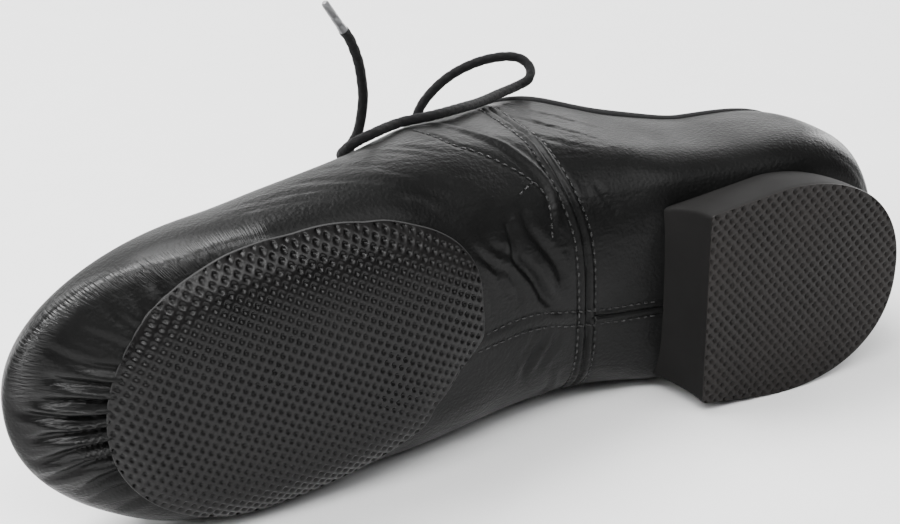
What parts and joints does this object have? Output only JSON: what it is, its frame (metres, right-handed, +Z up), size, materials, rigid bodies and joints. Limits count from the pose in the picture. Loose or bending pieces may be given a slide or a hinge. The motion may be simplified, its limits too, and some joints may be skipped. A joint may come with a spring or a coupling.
{
  "type": "laced split-sole dance shoe",
  "caption": "Left split-sole jazz dance shoe of soft black leather, lying on its inner side, with a separate oval forefoot pad, a low rubber heel and a round lace tied in a bow.",
  "frame": {"origin": "on the floor, under the middle of the shoe's own box as it lies on its inner side, the bow left out", "axes": "+X from toe to heel, -Y the way the sole faces, +Z up, towards the shoe's outer side"},
  "size_m": [0.2508, 0.101, 0.1166],
  "materials": {
    "leather": "satin black",
    "sole_rubber": "pitted matt charcoal",
    "insole_cloth": "matt",
    "edge_binding": "matt",
    "lace_cord": "matt braid",
    "aglet_plastic": "gloss grey"
  },
  "bodies": {
    "root": {"upper": "leather", "tongue": "leather", "forefoot_sole": "sole_rubber", "heel": "sole_rubber", "insole": "insole_cloth", "collar_binding": "edge_binding", "lace_crossings": "lace_cord", "lace_knot": "lace_cord", "lace_loop_outer": "lace_cord", "lace_end_outer": "lace_cord", "lace_loop_inner": "lace_cord", "lace_end_inner": "lace_cord", "aglet_outer": "aglet_plastic", "aglet_inner": "aglet_plastic"}
  },
  "joints": []
}
